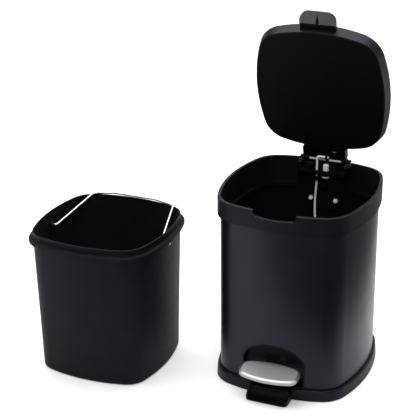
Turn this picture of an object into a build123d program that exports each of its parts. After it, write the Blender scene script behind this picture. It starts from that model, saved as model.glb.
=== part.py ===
from build123d import *
import os
from math import asin, atan2, cos, degrees, hypot, radians, sin, sqrt

# Pedal bin of about five litres: a square steel body with bowed sides, a drop-in lid worked by a
# pedal, and a loose inner bucket that stands beside it. Millimetres, +Z up, front towards -Y.
# Pieces are drawn with the body's axis at x = y = 0 and its foot on z = 0. BIN_PLACE then moves
# them so that the origin is under the middle of the bin and the bucket together.
BIN_PLACE = Location((120.5, 33.0, 0.0))

# ---- body outline ----
SHELL_HALF = 98.5      # half the width of the steel body
SHELL_DEEP = 103.5     # half its depth
SIDE_BOW = 220.5       # radius of each bowed side
CORNER = 36.0          # radius of each corner
SHELL_WALL = 1.0
SHELL_FOOT = 4.5
SHELL_TOP = 244.5
FIT_GAP = 0.2

# ---- base ----
BASE_RIM_FOOT = 0.8
BASE_TOP = 15.5
BASE_FOOT_FLARE = 5.0
BASE_TOP_FLARE = 3.9
BASE_POCKET = 2.3
BASE_FLOOR = 4.5
RAMP_HALF = 29.0
RAMP_FRONT = 129.5
RAMP_SIDE = 2.6
FOOT_RADIUS = 7.0
FOOT_SPREAD = 70.0

# ---- top ring ----
RING_FLARE = 4.0
RING_FOOT = 237.5
RING_TOP = 262.5
LEDGE_TOP = 224.5
LEDGE_FOOT = 219.5
LEDGE_INSET = 5.5
NOTCH_HALF = 29.0
NOTCH_FOOT = 252.5

# ---- hinge, crank and damper ----
PIN_Y = 103.0
PIN_Z = 261.5
PIN_RADIUS = 1.5
LID_ANGLE = 76.0       # opening of the lid between closed and resting open
CRANK_RADIUS = 12.0    # distance of the push rod's upper end from the hinge pin
RUN_GAP = 0.05         # radial play of a pin that turns
CHEEK_INNER = 31.2
CHEEK_OUTER = 36.0
CHEEK_FRONT = 89.5
SHELF_TOP = 250.5
SHELF_HALF = 33.0
SHELF_THICK = 3.0
SHELF_FRONT = 84.0
PLATE_FRONT = 97.7
PLATE_BACK = 100.1
PLATE_FOOT = 190.0
SADDLE_TOP = 255.1
HINGE_GAP_HALF = 37.2   # half the width of the gap in the ring for the housing
SCREW_X = 18.0
SCREW_Z = 205.0
SCREW_RADIUS = 1.5
WASHER_THICK = 0.8
DAMPER_X = 4.0
DAMPER_Y = 92.3
DAMPER_RADIUS = 4.8
DAMPER_FOOT = 226.0
BOSS_FOOT = 243.0
GUIDE_FOOT = 236.5
GUIDE_TALL = 5.0
PLUNGER_RADIUS = 3.9
PLUNGER_TOP = 258.6

# ---- lid, drawn closed ----
LID_Y = -11.3
LID_HALF_X = 89.5
LID_HALF_Y = 89.0
LID_BOW = 229.0
LID_CORNER = 35.0
LID_FOOT = 253.5
LID_BROAD = 268.5
LID_FLARE = 3.4
LID_WALL = 2.0
LID_TOP = 275.0
CROWN_RADIUS = 1100.0
TAB_HALF = 24.5
TAB_TIP = -126.0
TAB_FOOT = 258.0
TAB_THICK = 6.5
TAB_RIDGE = -110.0     # where the tab's underside is lowest
ARM_HALF = 30.5
ARM_WALL = 2.5
KNUCKLE_LONG = 7.0     # length of the knuckle at each side of the arm
ARM_TOP = 265.0
ARM_FOOT = 255.5
ARM_GAP = 0.1          # glue line between the arm and the lid's tongue
ARM_FRONT = 81.2
KNUCKLE = 6.0
RIB_X = 2.5
RIB_THICK = 3.0
LID_SCREW_X = 13.0
LID_SCREW_Y = 87.2

# ---- pedal and lever, drawn with the pedal up ----
LEVER_Y = -28.0
LEVER_Z = 30.0
LEVER_PIN_RADIUS = 2.0
LEVER_HALF = 11.0
LEVER_THICK = 2.5
LEVER_LINE = ((-127.0, 49.0), (-100.0, 49.0), (-82.0, 33.0), (-50.0, 24.0), (0.0, 24.0), (72.0, 18.5),
              (99.5, 18.5))   # top of the strip, (y, z) from the pedal to the rod
EAR_X = -6.5
PEDAL_Y = -113.0
PEDAL_TOP = 52.5
PEDAL_HALF_X = 41.0
PEDAL_HALF_Y = 20.5
PEDAL_BOW_END = 32.0   # radius of the plate's left and right ends
PEDAL_BOW_FRONT = 110.0
PEDAL_CORNER = 12.0
PEDAL_SHEET = 1.2
PEDAL_EDGE = 5.6       # height of the plate with its turned-down edge
PEDAL_BEVEL = 3.0
PEDAL_SCREWS = ((0, -120.0), (0, -106.0))
ROD_X = -9.5
ROD_RADIUS = 1.5
ROD_BOW = 2.2          # the rod bends sideways below the shelf
EAR_SLOT_Z = 24.0
ARCH_HALF = 42.0
ARCH_CENTRE = 46.0
ARCH_TOP = 72.0
ARCH_WALL = 1.6
NICHE_BACK = 88.5

# ---- bucket and its bail ----
BUCKET_X = -249.0
BUCKET_Y = -79.5
BUCKET_HALF_X = 90.0
BUCKET_HALF_Y = 90.0
BUCKET_CORNER = 34.5
BUCKET_TAPER = 5.8
BUCKET_TOP = 202.0
BUCKET_WALL = 1.8
FLANGE_FOOT = 188.0
FLANGE_TOP = 193.0
FLANGE_OUT = 5.5
BAIL_Z = 183.5
BAIL_RADIUS = 1.5
BAIL_REACH = 89.0

# ---- positions that follow from the sizes above ----
half_swing = radians(LID_ANGLE / 2)
crank_y = PIN_Y - CRANK_RADIUS * cos(half_swing)
crank_z_shut = PIN_Z - CRANK_RADIUS * sin(half_swing)
crank_z_open = PIN_Z + CRANK_RADIUS * sin(half_swing)
rod_length = crank_z_shut - EAR_SLOT_Z
rod_travel = crank_z_open - crank_z_shut
lever_angle = degrees(asin(rod_travel / (crank_y - LEVER_Y)))
bail_angle = degrees(asin((BUCKET_TOP + BAIL_RADIUS + 0.4 - BAIL_Z) / (BAIL_REACH - 6.5)))


def turned(y, z, angle):
    """Location that turns a piece by angle degrees about the X-wise axis through (y, z)."""
    return Location((0, y, z)) * Location((0, 0, 0), (angle, 0, 0)) * Location((0, -y, -z))


LID_OPEN = turned(PIN_Y, PIN_Z, -LID_ANGLE)
PEDAL_DOWN = turned(LEVER_Y, LEVER_Z, lever_angle)
BUCKET_PLACE = Location((BUCKET_X, BUCKET_Y, 0))


def bowed_face(half_x, half_y, bow_x, bow_y, corner, mode=Mode.ADD):
    """Fill a rectangle with four bowed sides and tangent round corners in the active sketch.

    bow_x is the radius of the left and right sides, bow_y that of the front and back.
    """
    px, qy = half_x - bow_x, half_y - bow_y      # centres of the right side's and the back's arcs
    reach_x, reach_y = bow_x - corner, bow_y - corner
    span = hypot(px, qy)
    along = (reach_x**2 - reach_y**2 + span**2) / (2 * span)
    rise = sqrt(reach_x**2 - along**2)
    cx = px - (along * px + rise * qy) / span
    cy = (along * qy - rise * px) / span
    side = (px + bow_x * (cx - px) / reach_x, bow_x * cy / reach_x)
    end = (bow_y * cx / reach_y, qy + bow_y * (cy - qy) / reach_y)
    tilt = (atan2(cy, cx - px) + atan2(cy - qy, cx)) / 2
    mid = (cx + corner * cos(tilt), cy + corner * sin(tilt))
    with BuildLine() as outline:
        for s in (1, -1):
            ThreePointArc((s * side[0], -s * side[1]), (s * half_x, 0), (s * side[0], s * side[1]))
            ThreePointArc(*[(s * x, s * y) for x, y in (side, mid, end)])
            ThreePointArc((s * end[0], s * end[1]), (0, s * half_y), (-s * end[0], s * end[1]))
            ThreePointArc(*[(-s * x, s * y) for x, y in (end, mid, side)])
    make_face(outline.edges(), mode=mode)


def body_face(grow, mode=Mode.ADD):
    """Fill the body's outline, offset outwards by grow."""
    bow = SIDE_BOW + grow
    bowed_face(SHELL_HALF + grow, SHELL_DEEP + grow, bow, bow, CORNER + grow, mode)


def lid_face(grow):
    """Fill the lid's outline, offset outwards by grow."""
    bow = LID_BOW + grow
    bowed_face(LID_HALF_X + grow, LID_HALF_Y + grow, bow, bow, LID_CORNER + grow)


def pedal_face(grow):
    """Fill the pedal plate's outline, offset outwards by grow."""
    bowed_face(PEDAL_HALF_X + grow, PEDAL_HALF_Y + grow, PEDAL_BOW_END + grow, PEDAL_BOW_FRONT + grow,
               PEDAL_CORNER + grow)


def bucket_face(grow, mode=Mode.ADD):
    """Fill the bucket's outline, offset outwards by grow."""
    bow = SIDE_BOW + grow
    bowed_face(BUCKET_HALF_X + grow, BUCKET_HALF_Y + grow, bow, bow, BUCKET_CORNER + grow, mode)


def arch_face(grow, foot):
    """Fill the arch of the pedal niche, offset outwards by grow, down to the height foot."""
    width = 2 * (ARCH_HALF + grow)
    with Locations((0, ARCH_CENTRE)):
        Ellipse(ARCH_HALF + grow, ARCH_TOP - ARCH_CENTRE + grow)
        Rectangle(width, ARCH_CENTRE, align=(Align.CENTER, Align.MAX))
    with Locations((0, foot)):
        Rectangle(width + 2, ARCH_TOP, align=(Align.CENTER, Align.MAX), mode=Mode.SUBTRACT)


def save(build, name, turn=Location()):
    """Put a finished piece in its rest place, label it and write its STEP file."""
    piece = build.part.moved(BIN_PLACE * turn)
    piece.label = name
    export_step(piece, f"parts/{name}.step")


os.makedirs("parts", exist_ok=True)

# ---- base: moulded rim and floor plate, with the foot ramp under the pedal ----
with BuildPart() as base:
    with BuildSketch(Plane.XY.offset(BASE_RIM_FOOT)):
        body_face(BASE_FOOT_FLARE)
    with BuildSketch(Plane.XY.offset(BASE_TOP)):
        body_face(BASE_TOP_FLARE)
    loft(ruled=True)
    fillet(base.edges().group_by(Axis.Z)[-1], 2.0)
    with BuildSketch(Plane.YZ):
        with BuildLine():
            Polyline((-100, BASE_RIM_FOOT), (-RAMP_FRONT, BASE_RIM_FOOT), (-RAMP_FRONT, 4.0),
                     (-108.5, BASE_TOP - 1.0), (-100, BASE_TOP - 1.0), close=True)
        make_face()
    extrude(amount=RAMP_HALF, both=True)
    toe = base.edges().filter_by(Axis.Z).group_by(Axis.Y)[0]
    fillet(toe, 6.0)
    with BuildSketch(Plane.YZ):
        with BuildLine():
            ThreePointArc((-RAMP_FRONT - 1, 2.6), (-116.0, 4.6), (-110.6, 12.0))
            Polyline((-110.6, 12.0), (-110.6, 20.0), (-RAMP_FRONT - 1, 20.0), (-RAMP_FRONT - 1, 2.6))
        make_face()
    extrude(amount=RAMP_HALF - RAMP_SIDE, both=True, mode=Mode.SUBTRACT)
    with BuildSketch(Plane.XY.offset(BASE_FLOOR)):
        body_face(FIT_GAP)
    extrude(amount=BASE_TOP, mode=Mode.SUBTRACT)
    with BuildSketch(Plane.XY.offset(BASE_RIM_FOOT)):
        body_face(-2.0)
    extrude(amount=BASE_POCKET - BASE_RIM_FOOT, mode=Mode.SUBTRACT)
    for side in (-1, 1):
        with BuildSketch(Plane.YZ.offset(side * 14.5)):
            with Locations((LEVER_Y, LEVER_Z)):
                Circle(5.0)
            with Locations((LEVER_Y, BASE_FLOOR + 1)):
                Rectangle(18.0, 2.0)
            make_hull()
        extrude(amount=1.5, both=True)
    with BuildSketch(Plane.YZ):
        with Locations((LEVER_Y, LEVER_Z)):
            Circle(LEVER_PIN_RADIUS)
    extrude(amount=20.0, both=True, mode=Mode.SUBTRACT)
save(base, "base")

# ---- four stick-on rubber feet in the base's pocket ----
with BuildPart() as rubber_feet:
    with BuildSketch(Plane.XY):
        with GridLocations(2 * FOOT_SPREAD, 2 * FOOT_SPREAD, 2, 2):
            Circle(FOOT_RADIUS)
    extrude(amount=BASE_POCKET)
save(rubber_feet, "rubber_feet")

# ---- painted steel body shell with the pedal arch and the housing's screw holes ----
with BuildPart() as outer_shell:
    with BuildSketch(Plane.XY.offset(SHELL_FOOT)):
        body_face(0)
        body_face(-SHELL_WALL, Mode.SUBTRACT)
    extrude(amount=SHELL_TOP - SHELL_FOOT)
    with BuildSketch(Plane.XZ):
        arch_face(ARCH_WALL, BASE_TOP)
    extrude(amount=SHELL_DEEP + 5, mode=Mode.SUBTRACT)
    with BuildSketch(Plane.XZ):
        with Locations((-SCREW_X, SCREW_Z), (SCREW_X, SCREW_Z)):
            Circle(SCREW_RADIUS + FIT_GAP)
    extrude(amount=-SHELL_DEEP - 5, mode=Mode.SUBTRACT)
save(outer_shell, "outer_shell")

# ---- black arch insert: the niche behind the pedal, with the lever's slot ----
with BuildPart() as pedal_surround:
    with BuildSketch(Plane.XZ.offset(NICHE_BACK - ARCH_WALL)):
        arch_face(ARCH_WALL, BASE_TOP)
    extrude(amount=20)
    with BuildSketch(Plane.XY):
        body_face(0.5)
    extrude(amount=RING_TOP, mode=Mode.INTERSECT)
    with BuildSketch(Plane.XZ.offset(NICHE_BACK)):
        arch_face(0, BASE_TOP + ARCH_WALL)
    extrude(amount=20, mode=Mode.SUBTRACT)
    with BuildSketch(Plane.XZ.offset(NICHE_BACK - 5)):
        with Locations((0, 37.0)):
            RectangleRounded(27.0, 29.0, 3.0)
    extrude(amount=10, mode=Mode.SUBTRACT)
save(pedal_surround, "pedal_surround")

# ---- top ring: collar over the shell's edge, with the finger notch and the hinge gap ----
with BuildPart() as top_ring:
    with BuildSketch(Plane.XY.offset(RING_FOOT)):
        body_face(RING_FLARE)
    extrude(amount=RING_TOP - RING_FOOT)
    fillet(top_ring.edges().group_by(Axis.Z)[-1], 1.6)
    with BuildSketch(Plane.XY.offset(LEDGE_FOOT)):
        body_face(-SHELL_WALL - FIT_GAP)
    extrude(amount=RING_FOOT - LEDGE_FOOT)
    with BuildSketch(Plane.XY.offset(LEDGE_TOP)):
        body_face(-2.6)
    with BuildSketch(Plane.XY.offset(RING_TOP)):
        body_face(-0.5)
    loft(ruled=True, mode=Mode.SUBTRACT)
    with BuildSketch(Plane.XY.offset(LEDGE_FOOT)):
        body_face(-LEDGE_INSET)
    extrude(amount=LEDGE_TOP - LEDGE_FOOT, mode=Mode.SUBTRACT)
    with BuildSketch(Plane.XY.offset(RING_FOOT)):
        body_face(FIT_GAP)
        body_face(-SHELL_WALL - FIT_GAP, Mode.SUBTRACT)
    extrude(amount=SHELL_TOP - RING_FOOT, mode=Mode.SUBTRACT)
    with BuildSketch(Plane.XZ.offset(80)):
        with BuildLine():
            Polyline((NOTCH_HALF, RING_TOP + 5), (NOTCH_HALF, RING_TOP - 5), (NOTCH_HALF - 3, NOTCH_FOOT + 1.6))
            ThreePointArc((NOTCH_HALF - 3, NOTCH_FOOT + 1.6), (0, NOTCH_FOOT),
                          (3 - NOTCH_HALF, NOTCH_FOOT + 1.6))
            Polyline((3 - NOTCH_HALF, NOTCH_FOOT + 1.6), (-NOTCH_HALF, RING_TOP - 5), (-NOTCH_HALF, RING_TOP + 5),
                     (NOTCH_HALF, RING_TOP + 5))
        make_face()
    extrude(amount=30, mode=Mode.SUBTRACT)
    with BuildSketch(Plane.XZ.offset(-80)):
        with Locations((0, SADDLE_TOP)):
            Rectangle(2 * HINGE_GAP_HALF, 20, align=(Align.CENTER, Align.MIN))
    extrude(amount=-30, mode=Mode.SUBTRACT)
    with BuildSketch(Plane.XY.offset(LEDGE_FOOT - 1)):
        with Locations((0, PLATE_BACK + FIT_GAP)):
            Rectangle(2 * HINGE_GAP_HALF, 10, align=(Align.CENTER, Align.MAX))
    extrude(amount=RING_TOP - LEDGE_FOOT, mode=Mode.SUBTRACT)
save(top_ring, "top_ring")

# ---- hinge housing: shelf, back plate, damper boss, rod guide and the cheeks that hold the pin ----
with BuildPart() as hinge_housing:
    with BuildSketch(Plane.XY.offset(SHELF_TOP - SHELF_THICK)):
        with Locations((0, SHELF_FRONT)):
            Rectangle(2 * SHELF_HALF, PLATE_BACK - SHELF_FRONT, align=(Align.CENTER, Align.MIN))
    extrude(amount=SHELF_THICK)
    with BuildSketch(Plane.XY.offset(SHELF_TOP - SHELF_THICK - 1.0)):
        with Locations((0, SHELF_FRONT)):
            Rectangle(2 * SHELF_HALF, 1.8, align=(Align.CENTER, Align.MIN))
    extrude(amount=1.0)
    with BuildSketch(Plane.XY.offset(BOSS_FOOT)):
        with Locations((DAMPER_X, DAMPER_Y)):
            Circle(DAMPER_RADIUS + 1.6)
    extrude(amount=SHELF_TOP - SHELF_THICK - BOSS_FOOT)
    with BuildSketch(Plane.XY.offset(GUIDE_FOOT)):
        with Locations((ROD_X, PLATE_FRONT)):
            Rectangle(8.0, 11.8, align=(Align.CENTER, Align.MAX))
    extrude(amount=GUIDE_TALL)
    with BuildSketch(Plane.XZ.offset(-PLATE_FRONT)):
        with Locations((0, PLATE_FOOT)):
            Rectangle(54.0, SHELF_TOP - PLATE_FOOT, align=(Align.CENTER, Align.MIN))
    extrude(amount=-(PLATE_BACK - PLATE_FRONT))
    for side in (-1, 1):
        with BuildSketch(Plane.YZ.offset(side * (CHEEK_INNER + CHEEK_OUTER) / 2)):
            with BuildLine():
                Polyline((CHEEK_FRONT, SHELF_TOP - 0.5), (CHEEK_FRONT, PIN_Z - 3.0), (CHEEK_FRONT + 3, PIN_Z),
                         (PIN_Y + 4.5, PIN_Z), (PIN_Y + 4.5, SADDLE_TOP), (PLATE_BACK, SADDLE_TOP),
                         (PLATE_BACK, SHELF_TOP - 0.5), close=True)
            make_face()
            with Locations((PIN_Y, PIN_Z)):
                Circle(4.5)
        extrude(amount=(CHEEK_OUTER - CHEEK_INNER) / 2, both=True)
    with BuildSketch(Plane.XZ.offset(-PLATE_BACK)):
        with Locations((-SCREW_X, SCREW_Z), (SCREW_X, SCREW_Z)):
            Circle(4.5)
    extrude(amount=-1.0)
    with BuildSketch(Plane.XZ):
        with Locations((-SCREW_X, SCREW_Z), (SCREW_X, SCREW_Z)):
            Circle(SCREW_RADIUS + FIT_GAP)
    extrude(amount=-SHELL_DEEP, mode=Mode.SUBTRACT)
    with BuildSketch(Plane.YZ):
        with Locations((PIN_Y, PIN_Z)):
            Circle(PIN_RADIUS)
    extrude(amount=CHEEK_OUTER + 2, both=True, mode=Mode.SUBTRACT)
    with BuildSketch(Plane.XY.offset(LEDGE_FOOT)):
        with Locations((DAMPER_X, DAMPER_Y)):
            Circle(DAMPER_RADIUS)
        with Locations((ROD_X, crank_y - 1.5)):
            SlotCenterToCenter(3.6, 2 * (ROD_RADIUS + 1.0), rotation=90)
    extrude(amount=RING_TOP - LEDGE_FOOT, mode=Mode.SUBTRACT)
save(hinge_housing, "hinge_housing")

# ---- hinge pin, pressed into the cheeks ----
with BuildPart() as hinge_pin:
    with BuildSketch(Plane.YZ):
        with Locations((PIN_Y, PIN_Z)):
            Circle(PIN_RADIUS)
    extrude(amount=CHEEK_OUTER + 0.8, both=True)
save(hinge_pin, "hinge_pin")

# ---- the housing's screws, washers and nuts: heads outside, nuts inside ----
with BuildPart() as housing_screws:
    with BuildSketch(Plane.XZ.offset(-PLATE_FRONT + 6.0)):
        with Locations((-SCREW_X, SCREW_Z), (SCREW_X, SCREW_Z)):
            Circle(SCREW_RADIUS)
    extrude(amount=-(SHELL_DEEP - PLATE_FRONT + 6.0))
    with BuildSketch(Plane.XZ.offset(-SHELL_DEEP + 0.3)):
        with Locations((-SCREW_X, SCREW_Z), (SCREW_X, SCREW_Z)):
            Circle(3.2)
    extrude(amount=-2.4)
    fillet(housing_screws.edges().group_by(Axis.Y)[-1], 1.0)
save(housing_screws, "housing_screws")

with BuildPart() as housing_washers:
    with BuildSketch(Plane.XZ.offset(-PLATE_FRONT)):
        with Locations((-SCREW_X, SCREW_Z), (SCREW_X, SCREW_Z)):
            Circle(3.6)
            Circle(SCREW_RADIUS, mode=Mode.SUBTRACT)
    extrude(amount=WASHER_THICK)
save(housing_washers, "housing_washers")

with BuildPart() as housing_nuts:
    with BuildSketch(Plane.XZ.offset(-PLATE_FRONT + WASHER_THICK)):
        with Locations((-SCREW_X, SCREW_Z), (SCREW_X, SCREW_Z)):
            RegularPolygon(2.75, 6, major_radius=False)
            Circle(SCREW_RADIUS, mode=Mode.SUBTRACT)
    extrude(amount=2.4)
save(housing_nuts, "housing_nuts")

# ---- soft-close damper: body in the housing's boss, retaining ring under it, white plunger ----
with BuildPart() as damper_body:
    with BuildSketch(Plane.XY.offset(DAMPER_FOOT)):
        with Locations((DAMPER_X, DAMPER_Y)):
            Circle(DAMPER_RADIUS)
    extrude(amount=SHELF_TOP - DAMPER_FOOT)
    with BuildSketch(Plane.XY.offset(DAMPER_FOOT + 3)):
        with Locations((DAMPER_X, DAMPER_Y)):
            Circle(PLUNGER_RADIUS + 0.3)
    extrude(amount=SHELF_TOP, mode=Mode.SUBTRACT)
save(damper_body, "damper_body")

with BuildPart() as damper_ring:
    with BuildSketch(Plane.XY.offset(BOSS_FOOT)):
        with Locations((DAMPER_X, DAMPER_Y)):
            Circle(DAMPER_RADIUS + 0.6)
            Circle(DAMPER_RADIUS, mode=Mode.SUBTRACT)
    extrude(amount=-3.0)
save(damper_ring, "damper_ring")

with BuildPart() as damper_plunger:
    with BuildSketch(Plane.XY.offset(PLUNGER_TOP - 18.0)):
        with Locations((DAMPER_X, DAMPER_Y)):
            Circle(PLUNGER_RADIUS)
    extrude(amount=18.0)
    fillet(damper_plunger.edges().group_by(Axis.Z)[-1], 1.0)
save(damper_plunger, "damper_plunger")

# ---- lid: outer moulding with crowned top, finger tab and rear tongue over the arm ----
LID_PLANE = Plane((0, LID_Y, 0))
with BuildPart() as lid_shell:
    with BuildSketch(LID_PLANE.offset(LID_FOOT)):
        lid_face(0)
    with BuildSketch(LID_PLANE.offset(LID_BROAD)):
        lid_face(LID_FLARE)
    loft(ruled=True)
    with BuildSketch(LID_PLANE.offset(LID_BROAD)):
        lid_face(LID_FLARE)
    extrude(amount=10)
    with Locations((0, LID_Y, LID_TOP - CROWN_RADIUS)):
        Sphere(CROWN_RADIUS, rotation=(90, 0, 0), mode=Mode.INTERSECT)
    fillet(lid_shell.edges().group_by(Axis.Z)[-1], 1.5)
    with BuildSketch(Plane.XY.offset(TAB_FOOT)):
        with Locations((0, -95.0)):
            Rectangle(2 * TAB_HALF, -95.0 - TAB_TIP, align=(Align.CENTER, Align.MAX))
    extrude(amount=TAB_THICK)
    tip = lid_shell.edges().filter_by(Axis.Z).group_by(Axis.Y)[0]
    fillet(tip, 12.0)
    with BuildSketch(Plane.YZ):
        with BuildLine():
            Polyline((TAB_TIP - 1, TAB_FOOT - 1), (-102, TAB_FOOT - 1), (-102, TAB_FOOT + 2.4),
                     (TAB_RIDGE, TAB_FOOT), (TAB_TIP - 1, TAB_FOOT + 3.8), close=True)
        make_face()
    extrude(amount=TAB_HALF + 1, both=True, mode=Mode.SUBTRACT)
    with BuildSketch(Plane.XY.offset(TAB_FOOT - 1)):
        with Locations((0, -112.0)):
            Circle(2.3)
        with Locations((0, -121.5)):
            Circle(0.6)
        make_hull()
    extrude(amount=5.4, mode=Mode.SUBTRACT)
    with BuildSketch(Plane.XY.offset(ARM_TOP + ARM_GAP)):
        with Locations((0, 74.0)):
            Rectangle(2 * ARM_HALF, 22.0, align=(Align.CENTER, Align.MIN))
    extrude(amount=3.0)
    with BuildSketch(LID_PLANE.offset(LID_FOOT)):
        lid_face(-LID_WALL)
    with BuildSketch(LID_PLANE.offset(LID_BROAD - 1.0)):
        lid_face(LID_FLARE - LID_WALL)
    loft(ruled=True, mode=Mode.SUBTRACT)
    with BuildSketch(Plane.XY.offset(ARM_TOP)):
        with Locations((LID_SCREW_X, LID_SCREW_Y)):
            Circle(1.5)
    extrude(amount=2.0, mode=Mode.SUBTRACT)
save(lid_shell, "lid_shell", LID_OPEN)

# ---- flat panel that closes the lid's underside ----
with BuildPart() as lid_liner:
    with BuildSketch(LID_PLANE.offset(LID_FOOT + 0.4)):
        lid_face(-LID_WALL - FIT_GAP)
    extrude(amount=2.0)
    with BuildSketch(LID_PLANE.offset(LID_FOOT + 2.4)):
        lid_face(-LID_WALL - 6.0)
    with BuildSketch(LID_PLANE.offset(LID_BROAD - 1.0)):
        lid_face(-LID_WALL - 6.0)
    loft(ruled=True)
    with BuildSketch(LID_PLANE.offset(LID_FOOT + 2.4)):
        lid_face(-LID_WALL - 7.6)
    extrude(amount=LID_BROAD - LID_FOOT, mode=Mode.SUBTRACT)
save(lid_liner, "lid_liner", LID_OPEN)

# ---- hinge arm: channel open towards the bin, with the crank rib ----
with BuildPart() as lid_arm:
    with BuildSketch(Plane.YZ):
        with BuildLine():
            Polyline((ARM_FRONT, ARM_FOOT), (ARM_FRONT, ARM_TOP), (PIN_Y, ARM_TOP), (PIN_Y, ARM_FOOT),
                     close=True)
        make_face()
        with Locations((PIN_Y, PIN_Z)):
            Circle(KNUCKLE)
    extrude(amount=ARM_HALF, both=True)
    with BuildSketch(Plane.YZ):
        with Locations(((ARM_FRONT + PIN_Y) / 2 + 1, ARM_TOP - ARM_WALL)):
            Rectangle(PIN_Y - ARM_FRONT - 2, 20, align=(Align.CENTER, Align.MAX))
        with Locations((PIN_Y, PIN_Z)):
            Circle(KNUCKLE, mode=Mode.SUBTRACT)
    extrude(amount=ARM_HALF - ARM_WALL, both=True, mode=Mode.SUBTRACT)
    with BuildSketch(Plane.YZ):
        with Locations((PIN_Y, PIN_Z)):
            Circle(KNUCKLE - 1.8)
        with Locations((PIN_Y - 4, PIN_Z)):
            Rectangle(8.2, 30, align=(Align.CENTER, Align.MAX))
    extrude(amount=ARM_HALF - KNUCKLE_LONG, both=True, mode=Mode.SUBTRACT)
    with BuildSketch(Plane.YZ.offset(RIB_X)):
        with Locations((PIN_Y, PIN_Z)):
            Circle(3.0)
        with Locations((crank_y, crank_z_shut)):
            Circle(3.0)
        with Locations((crank_y + 1, ARM_TOP - 1.5)):
            Rectangle(8.0, 1.0)
        make_hull()
    extrude(amount=RIB_THICK)
    with BuildSketch(Plane.YZ):
        with Locations((PIN_Y, PIN_Z)):
            Circle(PIN_RADIUS + RUN_GAP)
    extrude(amount=ARM_HALF + 1, both=True, mode=Mode.SUBTRACT)
    with BuildSketch(Plane.YZ):
        with Locations((crank_y, crank_z_shut)):
            Circle(ROD_RADIUS + RUN_GAP)
    extrude(amount=RIB_X + RIB_THICK + 1, mode=Mode.SUBTRACT)
    with BuildSketch(Plane.XY.offset(ARM_TOP)):
        with Locations((LID_SCREW_X, LID_SCREW_Y)):
            Circle(1.5)
    extrude(amount=-4.0, mode=Mode.SUBTRACT)
save(lid_arm, "lid_arm", LID_OPEN)

with BuildPart() as lid_arm_screw:
    with BuildSketch(Plane.XY.offset(ARM_TOP - ARM_WALL)):
        with Locations((LID_SCREW_X, LID_SCREW_Y)):
            Circle(1.5)
    extrude(amount=ARM_WALL + 2.0)
    with BuildSketch(Plane.XY.offset(ARM_TOP - ARM_WALL)):
        with Locations((LID_SCREW_X, LID_SCREW_Y)):
            Circle(3.0)
    extrude(amount=-1.8)
    fillet(lid_arm_screw.edges().group_by(Axis.Z)[0], 0.8)
save(lid_arm_screw, "lid_arm_screw", LID_OPEN)

# ---- push rod: bent wire from the pedal lever's ear to the arm's crank rib ----
with BuildPart() as push_rod:
    with BuildLine(Plane.XZ.offset(-crank_y)) as rod_path:
        FilletPolyline((RIB_X + RIB_THICK + 1.5, crank_z_open), (ROD_X, crank_z_open), (ROD_X, 229.0),
                       (ROD_X - ROD_BOW, 200.0), (ROD_X, 160.0), (ROD_X, crank_z_open - rod_length),
                       (-1.5, crank_z_open - rod_length), radius=(3.5, 180.0, 260.0, 180.0, 3.5))
    with BuildSketch(Plane(rod_path.line @ 0, z_dir=rod_path.line % 0)):
        Circle(ROD_RADIUS)
    sweep()
save(push_rod, "push_rod")

# ---- pedal lever: bent steel strip with two pivot flanges and the rod's slotted ear ----
with BuildPart() as pedal_lever:
    with BuildSketch(Plane.YZ):
        with BuildLine():
            Polyline(*LEVER_LINE, *[(y, z - LEVER_THICK) for y, z in reversed(LEVER_LINE)], close=True)
        make_face()
    extrude(amount=LEVER_HALF, both=True)
    for side in (-1, 1):
        with BuildSketch(Plane.YZ.offset(side * (LEVER_HALF - 1.2))):
            with Locations((LEVER_Y, LEVER_Z)):
                Circle(4.5)
            with Locations((LEVER_Y, 23.0)):
                Rectangle(16.0, 1.0)
            make_hull()
        extrude(amount=1.2, both=True)
    with BuildSketch(Plane.YZ.offset(EAR_X)):
        with Locations((crank_y, LEVER_LINE[-1][1])):
            RectangleRounded(12.5, 2 * (EAR_SLOT_Z + 4.6 - LEVER_LINE[-1][1]), 2.5)
        with Locations((crank_y, LEVER_LINE[-1][1] - LEVER_THICK / 2)):
            Rectangle(14, 40, align=(Align.CENTER, Align.MAX), mode=Mode.SUBTRACT)
        with Locations((crank_y - 1.4, EAR_SLOT_Z)):
            SlotCenterToCenter(3.4, 2 * (ROD_RADIUS + 0.6), mode=Mode.SUBTRACT)
    extrude(amount=2.5)
    with BuildSketch(Plane.YZ):
        with Locations((LEVER_Y, LEVER_Z)):
            Circle(LEVER_PIN_RADIUS + RUN_GAP)
    extrude(amount=LEVER_HALF + 1, both=True, mode=Mode.SUBTRACT)
    with BuildSketch(Plane.XY.offset(LEVER_LINE[0][1])):
        with Locations(*PEDAL_SCREWS):
            Circle(2.2)
    extrude(amount=-LEVER_THICK - 1, mode=Mode.SUBTRACT)
save(pedal_lever, "pedal_lever", PEDAL_DOWN)

with BuildPart() as lever_pin:
    with BuildSketch(Plane.YZ):
        with Locations((LEVER_Y, LEVER_Z)):
            Circle(LEVER_PIN_RADIUS)
    extrude(amount=17.0, both=True)
save(lever_pin, "lever_pin")

# ---- pedal: black core on the lever under a pressed steel plate ----
PEDAL_PLANE = Plane((0, PEDAL_Y, 0))
core_top = PEDAL_TOP - PEDAL_SHEET
plate_foot = PEDAL_TOP - PEDAL_EDGE
with BuildPart() as pedal_core:
    with BuildSketch(PEDAL_PLANE.offset(core_top)):
        pedal_face(-PEDAL_BEVEL - PEDAL_SHEET)
    extrude(amount=-6.0)
    with BuildSketch(Plane.XY.offset(LEVER_LINE[0][1])):
        with Locations((0, PEDAL_Y)):
            Rectangle(2 * LEVER_HALF, 50)
    extrude(amount=-10, mode=Mode.SUBTRACT)
    with BuildSketch(Plane.XY.offset(LEVER_LINE[0][1])):
        with Locations(*PEDAL_SCREWS):
            Circle(1.5)
    extrude(amount=1.6, mode=Mode.SUBTRACT)
save(pedal_core, "pedal_core", PEDAL_DOWN)

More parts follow.
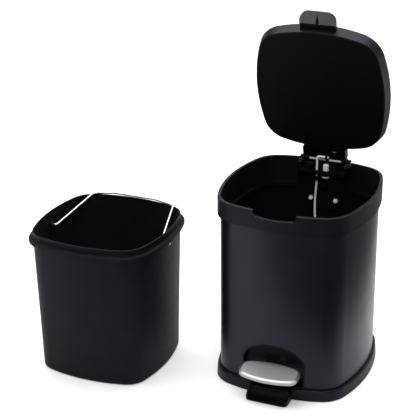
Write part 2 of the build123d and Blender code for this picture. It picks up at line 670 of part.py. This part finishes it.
with BuildPart() as pedal_plate:
    with BuildSketch(PEDAL_PLANE.offset(plate_foot)):
        pedal_face(0)
    extrude(amount=PEDAL_EDGE - PEDAL_SHEET)
    with BuildSketch(PEDAL_PLANE.offset(core_top)):
        pedal_face(0)
    with BuildSketch(PEDAL_PLANE.offset(PEDAL_TOP)):
        pedal_face(-PEDAL_BEVEL)
    loft(ruled=True)
    with BuildSketch(PEDAL_PLANE.offset(plate_foot)):
        pedal_face(-PEDAL_SHEET)
    extrude(amount=PEDAL_EDGE - 2 * PEDAL_SHEET, mode=Mode.SUBTRACT)
    with BuildSketch(PEDAL_PLANE.offset(core_top - PEDAL_SHEET)):
        pedal_face(-PEDAL_SHEET)
    with BuildSketch(PEDAL_PLANE.offset(core_top)):
        pedal_face(-PEDAL_BEVEL - PEDAL_SHEET)
    loft(ruled=True, mode=Mode.SUBTRACT)
save(pedal_plate, "pedal_plate", PEDAL_DOWN)

with BuildPart() as pedal_screws:
    with BuildSketch(Plane.XY.offset(LEVER_LINE[0][1] + 1.6)):
        with Locations(*PEDAL_SCREWS):
            Circle(1.5)
    extrude(amount=-1.6 - LEVER_THICK)
    with BuildSketch(Plane.XY.offset(LEVER_LINE[0][1] - LEVER_THICK)):
        with Locations(*PEDAL_SCREWS):
            Circle(3.2)
    extrude(amount=-1.6)
save(pedal_screws, "pedal_screws", PEDAL_DOWN)

# ---- inner bucket, drawn about its own axis ----
with BuildPart() as bucket:
    with BuildSketch(Plane.XY):
        bucket_face(-BUCKET_TAPER)
    with BuildSketch(Plane.XY.offset(BUCKET_TOP)):
        bucket_face(0)
    loft(ruled=True)
    fillet(bucket.edges().group_by(Axis.Z)[0], 3.0)
    with BuildSketch(Plane.XY.offset(FLANGE_FOOT)):
        bucket_face(FLANGE_OUT)
    extrude(amount=FLANGE_TOP - FLANGE_FOOT)
    fillet(bucket.edges().group_by(Axis.Z)[-3], 1.5)
    with BuildSketch(Plane.XY.offset(FLANGE_FOOT)):
        bucket_face(FLANGE_OUT - 1.6)
        bucket_face(-0.3, Mode.SUBTRACT)
    extrude(amount=FLANGE_TOP - FLANGE_FOOT - 1.8, mode=Mode.SUBTRACT)
    with BuildSketch(Plane.XY.offset(2.2)):
        bucket_face(-BUCKET_TAPER - BUCKET_WALL)
    with BuildSketch(Plane.XY.offset(BUCKET_TOP)):
        bucket_face(-BUCKET_WALL)
    loft(ruled=True, mode=Mode.SUBTRACT)
    with BuildSketch(Plane.YZ):
        with Locations((0, BAIL_Z)):
            Circle(BAIL_RADIUS + RUN_GAP)
    extrude(amount=BUCKET_HALF_X, both=True, mode=Mode.SUBTRACT)
save(bucket, "bucket", BUCKET_PLACE)

# ---- black bosses inside the bucket's walls, where the bail turns ----
wall_x = BUCKET_HALF_X - BUCKET_WALL - BUCKET_TAPER * (BUCKET_TOP - BAIL_Z) / BUCKET_TOP
with BuildPart() as bail_grommets:
    for side in (-1, 1):
        with BuildSketch(Plane.YZ.offset(side * (wall_x - 3.2))):
            with Locations((0, BAIL_Z)):
                Circle(6.0)
                Circle(BAIL_RADIUS + RUN_GAP, mode=Mode.SUBTRACT)
        extrude(amount=side * 2.8)
save(bail_grommets, "bail_grommets", BUCKET_PLACE)

# ---- bail: wire handle lying back on the bucket's rear rim ----
BAIL_PLANE = Plane((0, 0, BAIL_Z), x_dir=(1, 0, 0), z_dir=(0, -sin(radians(bail_angle)), cos(radians(bail_angle))))
with BuildPart() as bail_handle:
    with BuildLine(BAIL_PLANE) as bail_path:
        half = ((93.0, 0), (79.5, 0), (62.0, BAIL_REACH - 6.5), (30.0, BAIL_REACH))
        FilletPolyline(*half, *[(-x, y) for x, y in reversed(half)], radius=[4, 9, 70, 70, 9, 4])
    with BuildSketch(Plane(bail_path.line @ 0, z_dir=bail_path.line % 0)):
        Circle(BAIL_RADIUS)
    sweep()
save(bail_handle, "bail_handle", BUCKET_PLACE)
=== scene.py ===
import math

import bpy
from mathutils import Matrix, Vector


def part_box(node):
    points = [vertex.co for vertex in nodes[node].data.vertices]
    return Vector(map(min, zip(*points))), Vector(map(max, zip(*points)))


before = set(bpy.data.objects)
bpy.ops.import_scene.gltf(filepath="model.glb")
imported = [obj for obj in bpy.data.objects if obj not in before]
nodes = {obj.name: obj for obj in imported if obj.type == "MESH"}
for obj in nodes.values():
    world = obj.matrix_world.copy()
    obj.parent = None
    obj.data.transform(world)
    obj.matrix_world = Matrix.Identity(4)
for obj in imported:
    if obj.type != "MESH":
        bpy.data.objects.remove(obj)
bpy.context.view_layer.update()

# ---------------------------------------------------------------- camera
# The pose is given in the bin's own frame, whose origin is on the floor under the body's axis.
ring_low, ring_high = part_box("top_ring")
bin_axis = Vector(((ring_low.x + ring_high.x) / 2, (ring_low.y + ring_high.y) / 2, 0))
CAMERA_AT = Vector((0.50947, -1.51632, 0.90097))
CAMERA_AZIMUTH = math.radians(22.9165)
CAMERA_ELEVATION = math.radians(22.9034)
CAMERA_ROLL = math.radians(-0.3982)
FOCAL_SHARE = 3.09588     # focal length over the picture's width
SENSOR = 36.0
CAMERA_REACH = 50         # how far the camera sees, in metres


def make_camera():
    az, el, roll = CAMERA_AZIMUTH, CAMERA_ELEVATION, CAMERA_ROLL
    right = Vector((math.cos(az), math.sin(az), 0))
    back = Vector((math.sin(az) * math.cos(el), -math.cos(az) * math.cos(el), math.sin(el)))
    up = back.cross(right)
    x_axis = right * math.cos(roll) + up * math.sin(roll)
    y_axis = up * math.cos(roll) - right * math.sin(roll)
    data = bpy.data.cameras.new("camera")
    data.sensor_width = SENSOR
    data.lens = SENSOR * FOCAL_SHARE
    data.clip_end = CAMERA_REACH
    cam = bpy.data.objects.new("camera", data)
    bpy.context.scene.collection.objects.link(cam)
    turned = Matrix((x_axis, y_axis, back)).transposed().to_4x4()
    cam.matrix_world = Matrix.Translation(bin_axis + CAMERA_AT) @ turned
    bpy.context.scene.camera = cam


make_camera()


# ---------------------------------------------------------------- materials
class Tree:
    """Small helper that builds one material's node tree."""

    def __init__(self, name):
        self.material = bpy.data.materials.new(name)
        self.material.use_nodes = True
        self.tree = self.material.node_tree
        self.shader = self.tree.nodes["Principled BSDF"]
        self.place = self.node("ShaderNodeTexCoord").outputs["Object"]

    def node(self, kind, **values):
        made = self.tree.nodes.new(kind)
        for name, value in values.items():
            setattr(made, name, value)
        return made

    def link(self, source, target):
        self.tree.links.new(source, target)

    def mapped(self, scale):
        made = self.node("ShaderNodeMapping")
        made.inputs["Scale"].default_value = scale
        self.link(self.place, made.inputs["Vector"])
        return made.outputs["Vector"]

    def noise(self, scale, detail=3.0, rough=0.5, where=None):
        made = self.node("ShaderNodeTexNoise")
        made.inputs["Scale"].default_value = scale
        made.inputs["Detail"].default_value = detail
        made.inputs["Roughness"].default_value = rough
        self.link(where or self.place, made.inputs["Vector"])
        return made.outputs["Fac"]

    def ranged(self, value, low, high, from_low=0.3, from_high=0.7):
        made = self.node("ShaderNodeMapRange")
        made.inputs["From Min"].default_value = from_low
        made.inputs["From Max"].default_value = from_high
        made.inputs["To Min"].default_value = low
        made.inputs["To Max"].default_value = high
        self.link(value, made.inputs["Value"])
        return made.outputs["Result"]

    def ramp(self, value, stops):
        made = self.node("ShaderNodeValToRGB")
        elements = made.color_ramp.elements
        while len(elements) < len(stops):
            elements.new(0.5)
        for element, (position, colour) in zip(elements, stops):
            element.position = position
            element.color = (*colour, 1)
        self.link(value, made.inputs["Fac"])
        return made.outputs["Color"]

    def bump(self, height, strength, distance, normal=None):
        made = self.node("ShaderNodeBump")
        made.inputs["Strength"].default_value = strength
        made.inputs["Distance"].default_value = distance
        self.link(height, made.inputs["Height"])
        if normal is not None:
            self.link(normal, made.inputs["Normal"])
        return made.outputs["Normal"]

    def set(self, **values):
        for name, value in values.items():
            self.shader.inputs[name.replace("_", " ")].default_value = value

    def feed(self, source, name):
        self.link(source, self.shader.inputs[name])


COOL = (0.79, 0.81, 1.0, 1)     # the black paint and plastics shine slightly blue


def powder_coat(name, dark, light, low, high, specular):
    """Painted sheet steel: satin charcoal with a fine orange peel and a faint fleck."""
    t = Tree(name)
    t.feed(t.ramp(t.noise(2600, 2), [(0.35, dark), (0.68, light)]), "Base Color")
    t.feed(t.ranged(t.noise(40, 4), low, high), "Roughness")
    fine = t.bump(t.noise(1500, 2), 0.12, 0.0001)
    t.feed(t.bump(t.noise(260, 2), 0.10, 0.0002, fine), "Normal")
    t.set(Specular_IOR_Level=specular, Specular_Tint=COOL)
    return t.material


def moulded(name, dark, light, low, high, grain, specular):
    """Injection-moulded plastic: spark-eroded grain, slow sheen changes and faint scuffs."""
    t = Tree(name)
    t.feed(t.ramp(t.noise(70, 5, 0.6), [(0.3, dark), (0.75, light)]), "Base Color")
    scuffs = t.noise(1.0, 6, 0.65, t.mapped((900, 60, 220)))
    t.feed(t.ranged(scuffs, low, high), "Roughness")
    voronoi = t.node("ShaderNodeTexVoronoi")
    voronoi.inputs["Scale"].default_value = 1400
    t.link(t.place, voronoi.inputs["Vector"])
    t.feed(t.bump(voronoi.outputs["Distance"], grain, 0.00012), "Normal")
    t.set(Specular_IOR_Level=specular, Specular_Tint=COOL)
    return t.material


def brushed(name, colour, low, high, stretch, strength, metallic):
    """Steel with fine brush lines along one direction."""
    t = Tree(name)
    lines = t.noise(1.0, 5, 0.7, t.mapped(stretch))
    dark = tuple(0.82 * c for c in colour)
    t.feed(t.ramp(lines, [(0.3, dark), (0.7, colour)]), "Base Color")
    t.feed(t.ranged(lines, low, high), "Roughness")
    t.feed(t.bump(lines, strength, 0.00008), "Normal")
    t.set(Metallic=metallic)
    return t.material


def plated(name, colour, low, high, metallic):
    """Bright zinc or nickel plating: patchy sheen with a few dull spots."""
    t = Tree(name)
    dark = tuple(0.8 * c for c in colour)
    t.feed(t.ramp(t.noise(180, 5, 0.6), [(0.3, dark), (0.6, colour)]), "Base Color")
    t.feed(t.ranged(t.noise(420, 4), low, high), "Roughness")
    t.feed(t.bump(t.noise(900, 3), 0.05, 0.0001), "Normal")
    t.set(Metallic=metallic)
    return t.material


# darkest and lightest colour, lowest and highest roughness, then grain and specular level
MATERIALS = {
    "body": powder_coat("charcoal_powder_coat", (0.0022, 0.0023, 0.0036), (0.0036, 0.0037, 0.0056),
                        0.32, 0.38, 0.28),
    "plastic": moulded("black_moulding", (0.0020, 0.0020, 0.0027), (0.0030, 0.0030, 0.0040),
                       0.42, 0.52, 0.10, 0.2),
    "panel": moulded("black_panel", (0.0004, 0.0004, 0.0006), (0.0008, 0.0008, 0.0010),
                     0.5, 0.6, 0.06, 0.10),
    "bucket": moulded("bucket_moulding", (0.0040, 0.0041, 0.0054), (0.0063, 0.0064, 0.0082),
                      0.52, 0.62, 0.14, 0.10),
    "dark": moulded("dark_moulding_and_painted_shade", (0.0008, 0.0008, 0.0011), (0.0016, 0.0016, 0.0020),
                    0.45, 0.6, 0.10, 0.2),
    "white": moulded("white_moulding", (0.70, 0.70, 0.71), (0.80, 0.80, 0.81), 0.25, 0.38, 0.03, 0.5),
    "rubber": moulded("rubber", (0.012, 0.012, 0.012), (0.022, 0.022, 0.022), 0.7, 0.9, 0.2, 0.2),
    # the tab colour is the lid's black plastic painted lighter: painted light on the tilted tab face
    "tab": moulded("tab_painted_light", (0.048, 0.048, 0.053), (0.068, 0.068, 0.074), 0.34, 0.42, 0.10, 0.5),
    "wire": brushed("bright_wire", (0.95, 0.94, 0.91), 0.30, 0.42, (300, 300, 300), 0.03, 0.1),
    "bail": brushed("bail_wire", (0.62, 0.61, 0.60), 0.26, 0.36, (300, 300, 300), 0.03, 0.95),
    "pad": brushed("satin_steel", (0.62, 0.62, 0.63), 0.42, 0.54, (120, 2400, 2400), 0.12, 0.85),
    "bevel": brushed("polished_steel", (0.36, 0.36, 0.37), 0.30, 0.38, (100, 1500, 1500), 0.04, 0.9),
    "zinc": plated("zinc_plate", (0.90, 0.89, 0.87), 0.26, 0.4, 0.3),
    "washer": plated("dull_zinc", (0.22, 0.22, 0.21), 0.4, 0.55, 0.6),
}
WEARS = {
    "base": "plastic", "rubber_feet": "rubber", "outer_shell": "body", "pedal_surround": "dark",
    "top_ring": "plastic", "hinge_housing": "dark", "hinge_pin": "wire", "housing_screws": "zinc",
    "housing_washers": "washer", "housing_nuts": "zinc", "damper_body": "dark", "damper_ring": "zinc",
    "damper_plunger": "white", "lid_shell": "plastic", "lid_liner": "panel", "lid_arm": "dark",
    # the pedal lever wears the dark moulding in place of zinc plating: painted shade for the shaded niche
    # that it runs through
    "lid_arm_screw": "zinc", "push_rod": "wire", "pedal_lever": "dark", "lever_pin": "wire",
    "pedal_core": "dark", "pedal_plate": "pad", "pedal_screws": "zinc", "bucket": "bucket",
    "bail_grommets": "dark", "bail_handle": "bail",
}
for node, wear in WEARS.items():
    nodes[node].data.materials.clear()
    nodes[node].data.materials.append(MATERIALS[wear])

# the open finger tab's front face is smoother than the rest of the lid and is painted in a lighter colour:
# painted light for the light that falls on its tilted face
TAB_TALL = 0.0195           # height of the tab above the rest of the open lid
TAB_FRONT = -0.6            # a normal with less y than this belongs to the front face
TAB_UNDER = -0.2            # a normal with less z than this belongs to the tab's lower edge
lid = nodes["lid_shell"].data
lid.materials.append(MATERIALS["tab"])
lid_top = max(vertex.co.z for vertex in lid.vertices)
for polygon in lid.polygons:
    on_tab = polygon.center.z > lid_top - TAB_TALL
    if on_tab and polygon.normal.y < TAB_FRONT and polygon.normal.z > TAB_UNDER:
        polygon.material_index = 1

# the pedal's flat top is satin, its bevels and turned-down edge are polished
FLAT = 0.995                # cosine of the most that a face of the flat top may lean from it
plate = nodes["pedal_plate"].data
plate.materials.append(MATERIALS["bevel"])
tilt = max(plate.polygons, key=lambda p: p.area if p.normal.z > 0.5 else 0).normal.copy()
for polygon in plate.polygons:
    polygon.material_index = 0 if polygon.normal.dot(tilt) > FLAT else 1


# ---------------------------------------------------------------- floor and lights
# each painted shade patch on the floor: direction from the bin's axis, white up to, dark from, how dark
FRONT_PAINTED_SHADE = (0.669, -0.743, 0.0), 0.202, 0.28, 1.0
RIGHT_PAINTED_SHADE = (0.969, 0.248, 0.0), 0.18, 0.32, 0.9
PAINTED_SHADE_REACH = 0.75, 1.15     # the dark part ends softly between these distances from the bin's axis
FLOOR_HALF = 30
FLOOR_Z = -0.0002           # just under the feet
WALL_Y = 3.2
WALL_TOP = 3.4
WHITE = 0.95, 0.95, 0.95
# colour of the painted shade patch on the floor
PAINTED_SHADE_BLACK = 0.015, 0.015, 0.016


def painted_shade_share(t, fade):
    """Share of painted shade on the table top along one direction from the bin's axis."""
    direction, start, end, depth = fade
    toward = t.node("ShaderNodeVectorMath", operation="DOT_PRODUCT")
    toward.inputs[1].default_value = direction
    t.link(t.place, toward.inputs[0])
    shift = bin_axis.dot(Vector(direction))
    return t.ranged(toward.outputs["Value"], 0.0, depth, start + shift, end + shift)


def make_floor():
    """White table top and back wall, with a patch of painted shade on the floor at the front right, which
    the bin's corner mirrors as a dark reflection.
    """
    t = Tree("table_top_painted_shade")
    darkest = t.node("ShaderNodeMath", operation="MAXIMUM")
    t.link(painted_shade_share(t, FRONT_PAINTED_SHADE), darkest.inputs[0])
    t.link(painted_shade_share(t, RIGHT_PAINTED_SHADE), darkest.inputs[1])
    away = t.node("ShaderNodeVectorMath", operation="DISTANCE")
    away.inputs[1].default_value = bin_axis
    t.link(t.place, away.inputs[0])
    near = t.ranged(away.outputs["Value"], 1.0, 0.0, *PAINTED_SHADE_REACH)
    patch = t.node("ShaderNodeMath", operation="MULTIPLY")
    t.link(darkest.outputs["Value"], patch.inputs[0])
    t.link(near, patch.inputs[1])
    t.feed(t.ramp(patch.outputs["Value"], [(0.0, WHITE), (1.0, PAINTED_SHADE_BLACK)]), "Base Color")
    t.feed(t.ranged(t.noise(6, 3), 0.85, 0.95), "Roughness")
    t.set(Specular_IOR_Level=0.05)
    mesh = bpy.data.meshes.new("floor")
    corners = [(-FLOOR_HALF, -FLOOR_HALF, FLOOR_Z), (FLOOR_HALF, -FLOOR_HALF, FLOOR_Z),
               (FLOOR_HALF, WALL_Y, FLOOR_Z), (-FLOOR_HALF, WALL_Y, FLOOR_Z),
               (FLOOR_HALF, WALL_Y, WALL_TOP), (-FLOOR_HALF, WALL_Y, WALL_TOP)]
    mesh.from_pydata(corners, [], [(0, 1, 2, 3), (3, 2, 4, 5)])
    mesh.materials.append(t.material)
    floor = bpy.data.objects.new("floor", mesh)
    bpy.context.scene.collection.objects.link(floor)


def softbox(name, place, target, width, height, power):
    """Area light aimed from its place at a target, with its size in metres and its power in watts."""
    data = bpy.data.lights.new(name, "AREA")
    data.shape = "RECTANGLE"
    data.size, data.size_y, data.energy = width, height, power
    light = bpy.data.objects.new(name, data)
    bpy.context.scene.collection.objects.link(light)
    light.location = place
    light.rotation_euler = (Vector(target) - Vector(place)).to_track_quat("-Z", "Y").to_euler()


make_floor()
softbox("top", (-0.1, 0.5, 2.6), (0, 0, 0), 3.2, 3.2, 150)
softbox("front", (1.0, -2.3, 2.2), (0.1, 0, 0.25), 1.2, 1.0, 45)
softbox("left", (-2.0, -0.5, 0.9), (0, 0, 0.2), 1.4, 1.6, 14)
softbox("right", (1.9, 1.2, 0.9), (0.1, 0, 0.2), 1.4, 1.6, 4)
world = bpy.data.worlds.new("studio")
bpy.context.scene.world = world
world.use_nodes = True
background = world.node_tree.nodes["Background"]
background.inputs["Color"].default_value = (1, 1, 1, 1)
background.inputs["Strength"].default_value = 0.05
bpy.context.scene.view_settings.view_transform = "Standard"
